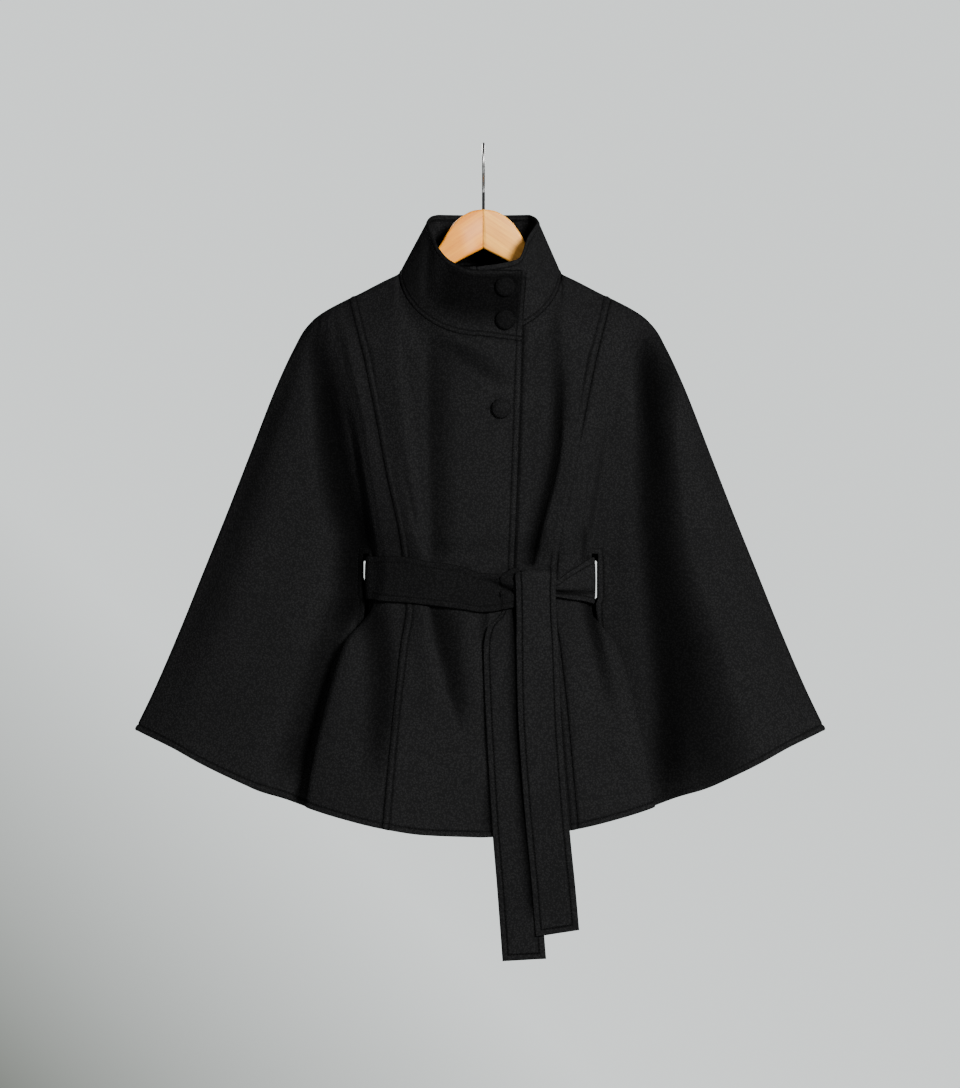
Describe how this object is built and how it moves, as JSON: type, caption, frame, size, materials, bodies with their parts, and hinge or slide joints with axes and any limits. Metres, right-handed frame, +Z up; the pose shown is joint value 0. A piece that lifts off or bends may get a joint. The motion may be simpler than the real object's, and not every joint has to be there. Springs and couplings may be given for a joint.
{
  "type": "wool cape coat on a wooden hanger",
  "caption": "Belted wool cape coat with a funnel collar, covered buttons and arm slits, hanging on a flat wooden hanger with a steel hook.",
  "frame": {"origin": "underside of the hook's arc, where it rests on what holds it up", "axes": "+Z up, -Y the front of the coat, +X towards the wearer's left"},
  "size_m": [0.832, 0.2133, 0.9756],
  "materials": {
    "wool": "matte felted wool with a fine nap",
    "wood": "clear satin lacquer on pale beech",
    "steel": "polished wire"
  },
  "bodies": {
    "root": {"front_right_centre": "wool", "front_right_wing": "wool", "front_left_centre": "wool", "front_left_wing": "wool", "back": "wool", "collar": "wool", "button_collar_top": "wool", "button_collar_low": "wool", "button_front": "wool", "belt_loop": "wool", "belt_knot": "wool", "belt_tail_over": "wool", "belt_tail_under": "wool", "hanger_arm_right": "wood", "hanger_arm_left": "wood", "hanger_hook": "steel"}
  },
  "joints": []
}
